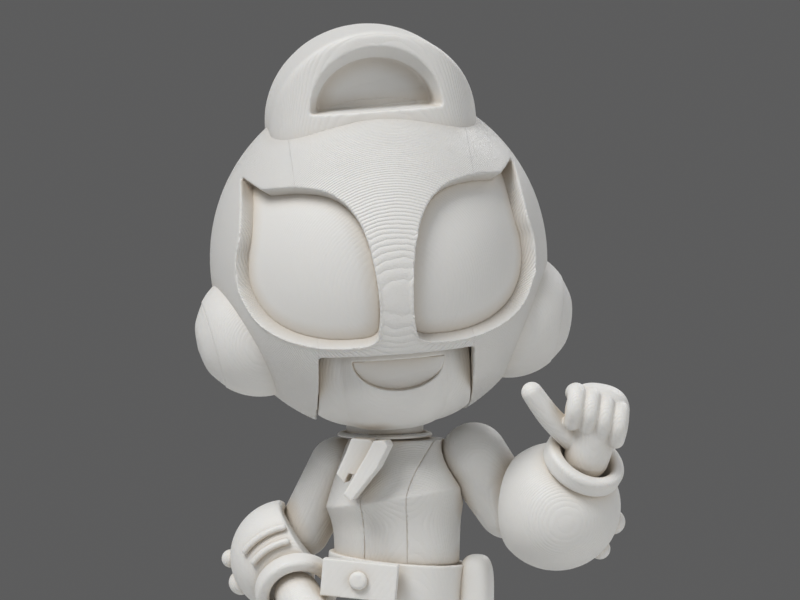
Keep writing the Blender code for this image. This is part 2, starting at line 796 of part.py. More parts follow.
def knobs(side_name, bulb):
    """Two round-ended studs set in the outer side of the gauntlet."""
    arm = ARMS[side_name]
    for letter, (direction, radius) in zip("ab", KNOBS[side_name]):
        name = f"knob_{letter}_{side_name}"
        seat = frame(name + "_frame", "bulb_frame_" + side_name, arm["bulb"], facing(direction))
        out = arm["bulb_r"]
        foot = out - 1.3
        dome = arc((0, out + KNOB_OUT - radius), radius, 65, 0, 4)
        lathe(name, seat, [(0, out + KNOB_OUT)] + dome + [(radius, foot + GAP), (0, foot + GAP)], steps=10)
        hole_r = radius + GAP
        hole = [(0, out + 3), (hole_r, out + 3), (hole_r, foot), (0, foot)]
        cut(bulb, lathe(name + "_hole", seat, hole, steps=10, cutter=True))


def vents():
    """Two curved bars on the right gauntlet, over the cuff, each standing off the surface."""
    arm = ARMS["right"]
    for letter, angle in zip("ab", VENT_ANGLES):
        radius = arm["bulb_r"] + VENT_OUT / 2 + 0.25
        route = []
        for step in range(7):
            swing = math.radians(VENT_MIDDLE + VENT_SWEEP * (step / 6 - 0.5))
            rise = math.radians(angle)
            route.append(
                (
                    radius * math.cos(rise) * math.cos(swing),
                    radius * math.cos(rise) * math.sin(swing),
                    radius * math.sin(rise),
                )
            )
        rod("vent_bar_" + letter, "bulb_frame_right", route, VENT_OUT / 2)


def hand(side_name, side):
    """A closed fist on a ball wrist, with four curled fingers and a thumb that stands out."""
    name, parent = "hand_" + side_name, "hand_frame_" + side_name
    fist = block(name, parent, (-3.4, -1.4, 3.2), (3.9, 2.4, 7.6), bevel=0.9, segments=1)
    join(fist, rod(name + "_wrist", parent, [(0, 0, 0), (0.2, 0.3, 4.2)], WRIST_R - 0.4, cutter=True))
    join(fist, ball(name + "_ball", parent, WRIST_R, cutter=True))
    for i in range(4):
        x = side * (-2.9 + 1.8 * i)
        top = 8.0 - 0.6 * i
        finger = f"{name}_finger_{i}"
        join(fist, rod(finger, parent, [(x, -1.9, top), (x + 0.2, -2.2, top - 3.6)], 0.95, cutter=True))
    join(fist, rod(name + "_thumb", parent, THUMBS[side_name], 1.15, cutter=True))


def build_arm(side_name, side):
    shoulder_piece(side_name, side)
    upper_arm(side_name, side)
    knobs(side_name, gauntlet(side_name))
    hand(side_name, side)


# ---------------------------------------------------------------- pelvis and legs


def build_pelvis():
    pelvis = block("pelvis", "pelvis_frame", (-6.6, -3.8, 20.9), (6.6, 4.2, PELVIS_TOP), bevel=1.0, segments=1)
    spigot = lathe(
        "waist_spigot", "pelvis_frame", [(0, 35.0), (2.4, 35.0), (2.4, 24.0), (0, 24.0)], cutter=True
    )
    join(pelvis, spigot)
    for side_name, side in SIDES:
        at = (side * HIP[0], HIP[1], HIP[2])
        cut(pelvis, ball("hip_socket_" + side_name, "pelvis_frame", HIP_BALL + GAP, at, cutter=True))


def build_leg(side_name, side):
    def at(point):
        return in_frame("pelvis_frame", (side * point[0], point[1], point[2]))

    hip = frame("hip_axis_" + side_name, "pelvis_frame", at(HIP))
    reach = at(KNEE) - at(HIP)
    thigh_frame = frame("thigh_frame_" + side_name, hip, at(HIP), facing(-reach))
    lathe("thigh_" + side_name, thigh_frame, limb_profile(HIP_BALL, KNEE_BALL, reach.length), steps=16)

    knee = frame("knee_axis_" + side_name, hip, at(KNEE))
    boot_frame = frame("boot_frame_" + side_name, knee, at(BOOT_CENTRE))
    boot = ellipsoid("boot_" + side_name, boot_frame, BOOT, segments=14, rings=8)
    knee_well = ball("knee_socket_" + side_name, knee, KNEE_BALL + GAP, cutter=True)
    rim = block("boot_rim_cut_" + side_name, knee, (-LONG, -LONG, -0.4), (LONG, LONG, LONG), cutter=True)
    flat = block("boot_flat_cut_" + side_name, boot_frame, (-LONG, -LONG, -LONG), (LONG, LONG, -4.4), cutter=True)
    ankle = lathe(
        "ankle_peg_" + side_name, boot_frame, [(0, -2), (1.8, -2), (1.8, -6.4), (0, -6.4)], cutter=True
    )
    join(cut(boot, knee_well, rim, flat), ankle)
    top = KNEE[2] - BOOT_CENTRE[2]
    ring = ring_profile(3.8, 4.9, top - 0.1, top + 1.2)
    lathe("boot_ring_" + side_name, boot_frame, ring, at=(side * (KNEE[0] - BOOT_CENTRE[0]), -0.2, 0), steps=14)

    ankle_at = at((BOOT_CENTRE[0], BOOT_CENTRE[1], 0))
    toe_out = turned_about("Z", side * FOOT_TOE_OUT)
    foot = frame("ankle_axis_" + side_name, knee, ankle_at, toe_out)
    shoe = shoe_body("shoe_" + side_name, foot)
    hole = lathe("ankle_hole_" + side_name, foot, [(0, 9), (2.1, 9), (2.1, 3.1), (0, 3.1)], cutter=True)
    cut(shoe, hole)
    sole = [(3.4, -9.4), (4.5, -6.6), (4.7, -3.0), (4.2, 1.6), (3.9, 4.6), (2.2, 6.2)]
    outline = [(-x, y) for x, y in sole] + [(x, y) for x, y in reversed(sole)]
    sole_obj = plate("sole_" + side_name, foot, outline, -SOLE_HEIGHT, 0)
    sole_obj.rotation_euler = (math.radians(-90), 0, 0)


def shoe_body(name, foot):
    """A rounded shoe: a soft cage, long at the toe, flat under and on top where the boot stands."""
    made = bmesh.new()
    bmesh.ops.create_cube(made, size=2)
    for vert in made.verts:
        toe, top = vert.co.y < 0, vert.co.z > 0
        vert.co.x *= (5.2 if toe else 4.9) if not top else 4.6
        vert.co.y = -12.2 if toe else 7.6
        vert.co.z = (6.4 if toe else 8.4) if top else -0.6
    shoe = from_bmesh(name, made, foot)
    soft = shoe.modifiers.new("soft", "SUBSURF")
    soft.levels = soft.render_levels = 2
    low = block(name + "_under", foot, (-LONG, -LONG, -LONG), (LONG, LONG, SOLE_HEIGHT + GAP), cutter=True)
    seat = BOOT_CENTRE[2] - 4.4 - GAP
    high = block(name + "_over", foot, (-LONG, -5.4, seat), (LONG, LONG, LONG), cutter=True)
    cut(shoe, low, high)
    return shoe


# ---------------------------------------------------------------- assembly


def build_frames():
    """The empties on which the moving bodies turn, all in the figure's own frame."""
    head_turn = turned_about("Y", HEAD_ROLL) @ turned_about("Z", HEAD_YAW) @ turned_about("X", HEAD_PITCH)
    torso_turn = turned_about("Z", TORSO_YAW)
    pivot = Vector(HEAD_CENTRE) + head_turn @ Vector((0, 0, -NECK_PIVOT_BELOW))
    frame("figure")
    frame("pelvis_frame", "figure", (SPINE_X, 0, 0))
    frame("torso_frame", "pelvis_frame", (SPINE_X, 0, 0), torso_turn)
    frame("neck_axis", "torso_frame", pivot)
    frame("head_pivot", "neck_axis", pivot, head_turn)
    frame("head_frame", "head_pivot", HEAD_CENTRE, head_turn)
    belt_turn = torso_turn @ turned_about("Y", BELT_TILT)
    frame("belt_frame", "torso_frame", (SPINE_X, 0, BELT_MIDDLE), belt_turn)
    buckle_at = (SPINE_X - 4.2, -8.1, BELT_MIDDLE + 0.3)
    frame("buckle_frame", "belt_frame", buckle_at, turned_about("Z", BUCKLE_TURN) @ turned_about("Y", BELT_TILT))
    scarf_at = in_frame("torso_frame", (0, -8.8, 0))
    frame("scarf_frame", "torso_frame", scarf_at, torso_turn)
    pouch_at = in_frame("torso_frame", (8.7, 0.6, 26.6))
    frame("pouch_frame", "torso_frame", pouch_at, torso_turn)
    for side_name, _ in SIDES:
        arm_frames(side_name)


def main():
    build_frames()
    build_head()
    build_neck()
    build_torso()
    for side_name, side in SIDES:
        build_arm(side_name, side)
    vents()
    build_pelvis()
    for side_name, side in SIDES:
        build_leg(side_name, side)
    bpy.data.objects["figure"].location = (-BOX_MIDDLE[0] * MM, -BOX_MIDDLE[1] * MM, 0)


main()
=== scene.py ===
"""The finished look of a small printed figure of a helmeted person, in matte white plastic.

Each visible piece is a fine mesh with softly rounded edges and fused-filament printing lines. The
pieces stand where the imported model's joints say. Lengths are in millimetres and become metres when
a mesh is made. The figure faces -Y, so its left is +X, and it stands on Z = 0.
"""

import json
import math

import bmesh
import bpy
from mathutils import Matrix, Vector


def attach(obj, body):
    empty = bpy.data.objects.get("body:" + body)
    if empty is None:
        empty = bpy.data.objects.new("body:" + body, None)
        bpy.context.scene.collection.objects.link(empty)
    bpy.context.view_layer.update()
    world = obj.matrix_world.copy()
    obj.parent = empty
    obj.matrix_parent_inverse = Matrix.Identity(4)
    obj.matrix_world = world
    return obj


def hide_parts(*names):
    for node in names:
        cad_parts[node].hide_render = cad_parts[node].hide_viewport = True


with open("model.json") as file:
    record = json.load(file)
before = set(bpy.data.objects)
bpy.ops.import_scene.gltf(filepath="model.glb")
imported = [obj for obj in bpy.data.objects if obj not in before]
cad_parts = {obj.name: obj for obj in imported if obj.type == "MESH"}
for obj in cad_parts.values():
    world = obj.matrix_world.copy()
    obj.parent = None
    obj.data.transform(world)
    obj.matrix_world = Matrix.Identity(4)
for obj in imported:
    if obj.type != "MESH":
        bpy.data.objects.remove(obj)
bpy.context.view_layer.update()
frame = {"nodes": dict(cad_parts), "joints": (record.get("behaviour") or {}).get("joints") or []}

MM = 0.001
LONG = 60.0  # a cutter that runs past everything
SEAM = 0.006  # half the width of a seam between two helmet pieces
PANEL_LAP = 0.05  # how far the soft edges of two jacket panels run into each other
CLEAR = 0.25  # between pieces that move past each other
VOXEL = 0.2
FINE_VOXEL = 0.13
SIDES = (("left", 1), ("right", -1))

# Printing
LAYER = 0.2
LAYER_DEPTH = 0.10  # of the ridges, as the light shows them
LAYER_DEPTHS = {
    "helmet": 0.28,
    "jacket": 0.14,
    "crest": 0.12,
    "lens": 0.05,
    "face": 0.08,
    "scarf": 0.05,
    "belt": 0.05,
}
PRINT_DIRECTION = (0.12, -0.975, -0.18)
WHITE = (0.80, 0.798, 0.785)
# Painted shade: a warm brown mixed into the crevices and hollows of the white plastic, and how far the
# ambient occlusion reaches to find them.
PAINTED_CREVICE_SHADE = (0.63, 0.56, 0.47)
PAINTED_SHADE_REACH = 2.2

# Head
HEAD_YAW, HEAD_PITCH, HEAD_ROLL = 5.5, 4.0, -4.0
HEAD_ABOVE_PIVOT = 11.7
HELMET = (20.0, 20.1, 20.7)
HELMET_WALL = 2.2
HELMET_STEPS = 144
HELMET_VOXEL = 0.17
SHARP_DEGREES = 50
NECK_HOLE = ((-8.8, -5, -LONG), (8.8, 7, -14))
HELMET_SPLIT = 2.0  # how far behind the head's middle the back shell starts
LENS_SET_BACK = 1.8
LENS_WALL = 1.7
SEAM_TOP = 10.4
MOUTH_HALF = 9.05
MOUTH_TOP = -9.3
FACE = (8.85, 12.2, 10.3)
FACE_CENTRE = (0.0, -2.5, -9.5)
CHEEKS = (12.0, 10.9, 9.9)  # the wider, lower step that closes the gap beside the face
FACE_FILL = 8.95
FACE_BACK, FACE_TOP = -6.5, -8.4
SMILE = (5.5, -10.3, -3.7)  # half width, base and rise
SMILE_SHIFT = 0.4
SMILE_FLOOR = -13.2
INLAY = (0.98, 0.97)  # of the smile's width and height
INLAY_DEPTHS = (-13.4, -12.8)
INLAY_DROP = 0.05
INLAY_SHIFT = 0.01
FACE_POWER = 2.8  # 2 is an ellipsoid, and more is boxier
CREST_BASE = 16.3
CREST_HALF = 12.2
CREST_RISE = 11.4
CREST_FRONT = 10.8
CREST_BACK = 5.0
CREST_DROP = 9.0  # how far its sides run down before the helmet cuts them
CREST_POWER = 3.0  # of the footprint: 2 is round, and more is squarer
POCKET_DEPTH = 4.6
POCKET_SHELF = 2.4
POCKET_SIZES = (  # half width, base and rise, from outside the crest to the floor
    (9.1, 18.2, 8.4),
    (8.9, 18.3, 8.2),
    (7.0, 18.5, 6.0),
    (6.7, 18.6, 5.8),
)
EAR_AT = (14.8, -2.0, -7.4)
EAR_R = 7.7
EAR_CAP_AT = 5.7  # along the ear's axis
EAR_TILT = 12.0
EAR_FOOT = (5.0, -3.4)  # radius and place of its inner end, inside the helmet
EAR_CAP_GAP = 0.12

# Torso
TORSO_YAW = -13.0
JACKET_RINGS = (  # height, half width, front, back
    (45.3, 5.7, 4.0, 4.2),
    (43.8, 6.6, 4.8, 4.6),
    (41.5, 7.5, 6.6, 4.7),
    (38.5, 8.5, 8.1, 4.8),
    (35.2, 7.7, 6.6, 4.8),
    (30.6, 7.5, 6.2, 4.7),
)
CREASE = 3  # the ring of the crease under the chest
CREASE_SLOPE = 0.16
PANEL_SPLIT = 1.25  # where the side panels end and the back panel starts
PANEL_MIDDLE = 0.5  # how far from the middle the side panels start, under the front strip
HEM_ABOVE_BELT = -0.6  # from the belt's top edge
BELT_TILT = 5.0
BELT_MIDDLE = 29.0
BELT_HEIGHT = 4.4
BELT_INNER = (7.6, 6.3, 4.9)
BELT_WALL = 0.8
BUCKLE_TURN = -7.0
BUCKLE_AT = (-4.2, -8.1, 0.3)
POUCH_AT = (8.7, 0.6, 26.6)
POUCH = (1.95, 2.6, 4.5)
SCARF_OUT = -8.8
PELVIS_TOP = 25.6

# Arms
ARMS = {
    "left": {
        "shoulder_r": 4.0,
        "elbow_r": 3.8,
        "bulb_r": 7.6,
        "cuff_at": 6.6,
        "hand_axis": (0.19, -0.32, 0.93),
        "cut_axis": (-0.89, 0.45, 0.05),
        "cut_at": 4.9,
        "knobs": (((0.93, 0.25, -0.28), 1.5), ((0.70, 0.20, -0.70), 1.25)),
        "palm": (3.75, 2.5, 3.3),
        "palm_at": (0.15, 0.9, 5.6),
        "knuckles": (-2.85, 1.8, 8.5),  # first, step and height
        "finger_r": 1.14,
        "thumb": ((-1.8, 0.0, 1.8), (-5.2, -0.6, 4.4), (-8.0, -0.8, 7.2)),
    },
    "right": {
        "shoulder_r": 3.4,
        "elbow_r": 3.2,
        "bulb_r": 6.8,
        "cuff_at": 5.6,
        "hand_axis": (0.34, -0.55, -0.76),
        "cut_axis": (0.83, -0.1, 0.55),
        "cut_at": 2.9,
        "knobs": (((-0.98, 0.15, -0.05), 1.1), ((-0.86, 0.15, -0.50), 1.5)),
        "palm": (3.6, 2.2, 2.9),
        "palm_at": (0.2, 0.9, 5.3),
        "knuckles": (-2.65, 1.7, 8.0),
        "finger_r": 0.98,
        "thumb": ((1.6, 0.2, 3.8), (3.4, 0.4, 5.8)),
    },
}
HIP_SIDE = -9.9  # where the right gauntlet is flat beside the hip
CUFF_R = 4.9
CUFF_BORE = 3.3
CUFF_HEIGHT = 2.2
WRIST_R = 2.6
KNOB_OUT = 1.15
VENT_ANGLES = (38.0, 23.0)
VENT_MIDDLE = 122.0
VENT_SWEEP = 48.0
VENT_R = 0.42
VENT_LIFT = 0.35

# Legs
HIP_BALL = 3.4
KNEE_BALL = 2.5
BOOT = (5.1, 5.3, 5.6)
BOOT_MIDDLE = 9.9
BOOT_FLAT = -4.4
TOE_OUT = 8.0
SOLE_HEIGHT = 1.2

# Camera and light
CAMERA_DISTANCE = 600.0
CAMERA_RISE = 3.0
LENS_MM = 227.5
AIM = (1.8, -0.8, 6.7)  # from the neck's pivot
BACKDROP = (0.108, 0.108, 0.109)
SURROUND = (0.20, 0.20, 0.202)

tools = []


# ---------------------------------------------------------------- places


def turned(axis, degrees):
    return Matrix.Rotation(math.radians(degrees), 4, axis)


def facing(direction):
    """The rotation whose Z runs along direction, and whose X is as near to +X as it can be."""
    z = Vector(direction).normalized()
    x = (Vector((1, 0, 0)) - z.x * z).normalized()
    return Matrix((x, z.cross(x), z)).transposed().to_4x4()


def at(place, turn=None):
    return Matrix.Translation(Vector(place)) @ (turn or Matrix())


def joint(name):
    return next(j for j in frame["joints"] if j["name"] == name)


def joint_at(name):
    return Vector(joint(name)["pos_m"]) / MM


PIVOT = joint_at("neck_turn")
HEAD_TURN = turned("Y", HEAD_ROLL) @ turned("Z", HEAD_YAW) @ turned("X", HEAD_PITCH)
HEAD = at(PIVOT, HEAD_TURN) @ at((0, 0, HEAD_ABOVE_PIVOT))
WAIST = joint_at("waist_turn")
PELVIS = at((WAIST.x, WAIST.y, 0))
TORSO = PELVIS @ turned("Z", TORSO_YAW)
BELT = PELVIS @ at((0, 0, BELT_MIDDLE)) @ turned("Z", TORSO_YAW) @ turned("Y", BELT_TILT)
BUCKLE = PELVIS @ at((BUCKLE_AT[0], BUCKLE_AT[1], BELT_MIDDLE + BUCKLE_AT[2]))
BUCKLE = BUCKLE @ turned("Z", BUCKLE_TURN) @ turned("Y", BELT_TILT)


# ---------------------------------------------------------------- meshes


def solid(name, made, matrix):
    """An object from a bmesh in millimetres, with its mesh in the row frame."""
    bmesh.ops.transform(made, matrix=Matrix.Scale(MM, 4) @ matrix, verts=made.verts)
    bmesh.ops.recalc_face_normals(made, faces=made.faces)
    mesh = bpy.data.meshes.new(name)
    made.to_mesh(mesh)
    made.free()
    obj = bpy.data.objects.new(name, mesh)
    bpy.context.scene.collection.objects.link(obj)
    tools.append(obj)
    return obj


def skin(name, loops, matrix=None, caps=True):
    """Faces between successive loops of points. A loop of one point closes the end to it."""
    made = bmesh.new()
    rows = [[made.verts.new(point) for point in loop] for loop in loops]
    for upper, lower in zip(rows, rows[1:]):
        for i in range(max(len(upper), len(lower))):
            j = i + 1
            corners = [upper[i % len(upper)], lower[i % len(lower)]]
            corners += [lower[j % len(lower)], upper[j % len(upper)]]
            made.faces.new(dict.fromkeys(corners))
    if caps:
        for row in (rows[0], rows[-1]):
            if len(row) > 2:
                made.faces.new(row)
    return solid(name, made, matrix or Matrix())


def ring(radius_x, radius_y, height, count):
    angles = [2 * math.pi * i / count for i in range(count)]
    return [(radius_x * math.cos(a), radius_y * math.sin(a), height) for a in angles]


def lathe(name, profile, matrix=None, steps=96):
    """Turns a profile of (radius, height) about Z. A profile that ends where it starts is a ring."""
    loops = [ring(r, r, z, steps) if r > 0 else [(0, 0, z)] for r, z in profile]
    if profile[0] != profile[-1]:
        return skin(name, loops, matrix)
    made = bmesh.new()
    rows = [[made.verts.new(point) for point in loop] for loop in loops[:-1]]
    for upper, lower in zip(rows, rows[1:] + rows[:1]):
        for i in range(steps):
            j = (i + 1) % steps
            made.faces.new((upper[i], lower[i], lower[j], upper[j]))
    return solid(name, made, matrix or Matrix())


def ellipsoid(name, radii, matrix=None, centre=(0, 0, 0), steps=96, power=2.0):
    """A ball with three radii. A power over 2 makes it boxier."""
    made = bmesh.new()
    bmesh.ops.create_uvsphere(made, u_segments=steps, v_segments=steps * 2 // 3, radius=1)
    for vert in made.verts:
        vert.co /= sum(abs(c) ** power for c in vert.co) ** (1 / power)
    bmesh.ops.scale(made, vec=radii, verts=made.verts)
    bmesh.ops.translate(made, vec=centre, verts=made.verts)
    return solid(name, made, matrix or Matrix())


def ball(name, radius, matrix, steps=48):
    return ellipsoid(name, (radius,) * 3, matrix, steps=steps)


def block(name, low, high, matrix=None):
    made = bmesh.new()
    bmesh.ops.create_cube(made, size=1)
    bmesh.ops.scale(made, vec=[b - a for a, b in zip(low, high)], verts=made.verts)
    bmesh.ops.translate(made, vec=[(a + b) / 2 for a, b in zip(low, high)], verts=made.verts)
    return solid(name, made, matrix or Matrix())


def prism(name, outline, low, high, matrix=None):
    """An outline of (x, z), extruded along Y."""
    return skin(name, [[(x, y, z) for x, z in outline] for y in (low, high)], matrix)


def tube(name, route, radii, matrix=None, around=28, steps=10):
    """A round bar through the points of a route, with round ends."""
    points = smoothed([tuple(p) for p in route], steps, closed=False)
    count = len(points) - 1
    sizes = [radii[0] + (radii[-1] - radii[0]) * i / count for i in range(count + 1)]
    loops = []
    for end, step, back in ((0, 1, True), (count, -1, False)):
        centre = Vector(points[end])
        out = (centre - Vector(points[end + step])).normalized()
        dome = []
        for k in range(1, 7):
            swing = math.radians(15 * k)
            reach = centre + out * sizes[end] * math.sin(swing)
            dome.append(hoop(reach, out if not back else -out, sizes[end] * math.cos(swing), around))
        loops.append(dome)
    middle = []
    for i, point in enumerate(points):
        ahead = Vector(points[min(i + 1, count)]) - Vector(points[max(i - 1, 0)])
        middle.append(hoop(Vector(point), ahead, sizes[i], around))
    return skin(name, loops[0][::-1] + middle + loops[1], matrix)


def hoop(centre, direction, radius, around):
    """A ring of points about a direction, or one point where the radius is nothing."""
    if radius < 1e-6:
        return [tuple(centre)]
    turn = at(centre, facing(direction))
    return [tuple(turn @ Vector(p)) for p in ring(radius, radius, 0, around)]


def smoothed(points, steps, closed=True):
    """A curve through the points. A point that ends with "corner" stays sharp."""
    places = [Vector([c for c in p if c != "corner"]) for p in points]
    sharp = [p[-1] == "corner" for p in points]
    count = len(places)
    found = []
    for i in range(count if closed else count - 1):
        a, b = places[i], places[(i + 1) % count]
        before = places[i - 1] if closed or i else a
        after = places[(i + 2) % count] if closed or i + 2 < count else b
        leave = b - a if sharp[i] else (b - before) / 2
        arrive = b - a if sharp[(i + 1) % count] else (after - a) / 2
        for k in range(steps):
            t = k / steps
            h = (2 * t**3 - 3 * t**2 + 1, t**3 - 2 * t**2 + t, 3 * t**2 - 2 * t**3, t**3 - t**2)
            found.append(tuple(h[0] * a + h[1] * leave + h[2] * b + h[3] * arrive))
    return found if closed else found + [tuple(places[-1])]


def arc(centre, radius, start, end, count=16):
    """Points (radius, height) on an arc, by angle in degrees above the horizontal."""
    angles = [math.radians(start + (end - start) * i / (count - 1)) for i in range(count)]
    found = [(centre[0] + radius * math.cos(a), centre[1] + radius * math.sin(a)) for a in angles]
    return [(r if r > 1e-6 else 0.0, z) for r, z in found]


def half_moon(half_width, base, rise, drop=0.0, count=49):
    """A D shape lying on its straight side: an arch on short upright sides."""
    outline = [(-half_width, base - drop)] if drop else []
    for i in range(count):
        angle = math.pi * (1 - i / (count - 1))
        outline.append((half_width * math.cos(angle), base + rise * math.sin(angle)))
    return outline + ([(half_width, base - drop)] if drop else [])


def shrunk(radii, amount):
    return tuple(r - amount for r in radii)


def formed(name, base, joins=(), keeps=(), cuts=(), voxel=VOXEL, smooth=3):
    """Joins, keeps and cuts closed shapes, then remeshes the result so that its edges are soft."""
    for operation, others in (("UNION", joins), ("INTERSECT", keeps), ("DIFFERENCE", cuts)):
        for other in others:
            made = base.modifiers.new(operation.lower(), "BOOLEAN")
            made.operation = operation
            made.solver = "MANIFOLD"
            made.object = other
    if voxel:
        remesh = base.modifiers.new("even_mesh", "REMESH")
        remesh.mode = "VOXEL"
        remesh.voxel_size = voxel * MM
    if smooth:
        soften = base.modifiers.new("soft_edges", "SMOOTH")
        soften.factor = 0.5
        soften.iterations = smooth
    bpy.context.view_layer.update()
    evaluated = base.evaluated_get(bpy.context.evaluated_depsgraph_get())
    mesh = bpy.data.meshes.new_from_object(evaluated)
    if not mesh.polygons:
        raise RuntimeError(name + " came out empty")
    mesh.name = name
    mesh.shade_smooth()
    obj = bpy.data.objects.new(name, mesh)
    bpy.context.scene.collection.objects.link(obj)
    return obj


def clear_tools():
    for obj in tools:
        bpy.data.objects.remove(obj)
    tools.clear()


# ---------------------------------------------------------------- material


def node(tree, kind, **settings):
    made = tree.nodes.new(kind)
    for key, value in settings.items():
        setattr(made, key, value)
    return made


def maths(tree, operation, first, second):
    made = node(tree, "ShaderNodeMath", operation=operation)
    for socket, value in zip(made.inputs, (first, second)):
        if isinstance(value, (int, float)):
            socket.default_value = value
        else:
            tree.links.new(value, socket)
    return made.outputs[0]


def printed_plastic(name):
    """Matte plastic with a bead for each printed layer, a faint grain, and painted warm shade in its
    crevices.
    """
    material = bpy.data.materials.new(name)
    material.use_nodes = True
    tree = material.node_tree
    shader = tree.nodes["Principled BSDF"]
    place = node(tree, "ShaderNodeTexCoord").outputs["Object"]

    along = node(tree, "ShaderNodeVectorMath", operation="DOT_PRODUCT")
    tree.links.new(place, along.inputs[0])
    along.inputs[1].default_value = Vector(PRINT_DIRECTION).normalized() / (LAYER * MM)
    wander = node(tree, "ShaderNodeTexNoise")
    wander.inputs["Scale"].default_value = 420.0
    wander.inputs["Detail"].default_value = 2.0
    tree.links.new(place, wander.inputs["Vector"])
    shift = maths(tree, "MULTIPLY", wander.outputs["Fac"], 0.9)
    layer = maths(tree, "ADD", along.outputs["Value"], shift)
    part = maths(tree, "FRACT", layer, 0.0)
    bead = maths(tree, "MULTIPLY", part, maths(tree, "SUBTRACT", 1.0, part))

    grain = node(tree, "ShaderNodeTexNoise")
    grain.inputs["Scale"].default_value = 5200.0
    grain.inputs["Detail"].default_value = 3.0
    tree.links.new(place, grain.inputs["Vector"])
    height = maths(tree, "ADD", bead, maths(tree, "MULTIPLY", grain.outputs["Fac"], 0.16))

    bump = node(tree, "ShaderNodeBump")
    bump.inputs["Strength"].default_value = 1.0
    bump.inputs["Distance"].default_value = LAYER_DEPTHS.get(name, LAYER_DEPTH) * MM
    tree.links.new(height, bump.inputs["Height"])
    tree.links.new(bump.outputs["Normal"], shader.inputs["Normal"])

    # Painted shade: where ambient occlusion finds a crevice, the white gives way to a warm brown.
    shade = node(tree, "ShaderNodeAmbientOcclusion", samples=6)
    shade.inputs["Distance"].default_value = PAINTED_SHADE_REACH * MM
    open_part = maths(tree, "POWER", shade.outputs["AO"], 1.6)
    painted_shade_tone = node(tree, "ShaderNodeMix", data_type="RGBA")
    painted_shade_tone.inputs["A"].default_value = (*PAINTED_CREVICE_SHADE, 1)
    painted_shade_tone.inputs["B"].default_value = (*WHITE, 1)
    tree.links.new(open_part, painted_shade_tone.inputs["Factor"])
    tree.links.new(painted_shade_tone.outputs["Result"], shader.inputs["Base Color"])

    gloss = maths(tree, "ADD", maths(tree, "MULTIPLY", grain.outputs["Fac"], 0.16), 0.44)
    tree.links.new(gloss, shader.inputs["Roughness"])
    shader.inputs["Specular IOR Level"].default_value = 0.35
    shader.inputs["Subsurface Weight"].default_value = 0.12
    shader.inputs["Subsurface Radius"].default_value = (1.0, 0.85, 0.65)
    shader.inputs["Subsurface Scale"].default_value = 0.8 * MM
    return material


materials = {}


def finish_piece(obj, body, slot, *nodes):
    """Gives a piece the material for its slot and its body, and hides the CAD nodes that it stands for."""
    if slot not in materials:
        materials[slot] = printed_plastic(slot)
    obj.data.materials.clear()
    obj.data.materials.append(materials[slot])
    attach(obj, body)
    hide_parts(*nodes)
    return obj


# ---------------------------------------------------------------- head

LENS_OUTLINE = (
    (16.0, 11.4, "corner"),
    (14.2, 10.2, "corner"),
    (10.4, 10.5),
    (7.0, 9.9),
    (4.6, 8.0),
    (3.0, 4.6),
    (2.1, -1.0),
    (2.1, -5.8),
    (2.9, -7.7),
    (6.0, -8.1),
    (9.4, -7.9),
    (12.9, -6.9),
    (15.7, -4.9),
    (17.4, -1.6),
    (17.6, 2.0),
    (16.9, 5.2),
)
RIM_R = 0.3  # the thin raised rim under the lenses and beside the nose
RIM_FROM, RIM_TO = 5, 13  # the outline's points that it joins
LENS_MIDDLE = (9.8, 0.6)


def on_helmet(x, z):
    """The point of the helmet's front over (x, z)."""
    a, b, c = HELMET
    return Vector((x, -b * math.sqrt(max(1 - (x / a) ** 2 - (z / c) ** 2, 0.01)), z))


def lens_tool(name, side, grow):
    """A cone from the head's middle through the lens outline, so that it cuts square to the helmet."""
    loop = []
    for x, z in smoothed(LENS_OUTLINE, 6):
        x = LENS_MIDDLE[0] + (x - LENS_MIDDLE[0]) * grow
        z = LENS_MIDDLE[1] + (z - LENS_MIDDLE[1]) * grow
        loop.append(on_helmet(side * x, z))
    return skin(name, [[tuple(p * 0.6) for p in loop], [tuple(p * 1.5) for p in loop]], HEAD)


def front_zone(name, grow):
    """The front shell's share: the forehead between its seams, and the strip over the mouth."""
    top, low = SEAM_TOP + grow, MOUTH_HALF + grow
    outline = [(-top, LONG), (-top, 0), (-low, 0), (-low, -LONG)]
    outline += [(low, -LONG), (low, 0), (top, 0), (top, LONG)]
    return prism(name, outline, -LONG, HELMET_SPLIT - SEAM, HEAD)


def lens_rim(name, side):
    """A thin bead along the lower and nose sides of a lens opening."""
    route = [on_helmet(side * x, z) * 0.995 for x, z in LENS_OUTLINE[RIM_FROM : RIM_TO + 1]]
    return tube(name, route, (RIM_R, RIM_R), HEAD, around=16)


def crest_pocket(name):
    """The hand-hold, which narrows to a shelf, and reaches a little into the helmet below it."""
    outside = -CREST_FRONT - 1.0
    depths = (outside - 6, outside, -CREST_FRONT + POCKET_SHELF, -CREST_FRONT + POCKET_DEPTH)
    loops = []
    for y, size in zip(depths, POCKET_SIZES):
        loops.append([(x, y, z) for x, z in half_moon(*size)])
    return skin(name, loops, HEAD)


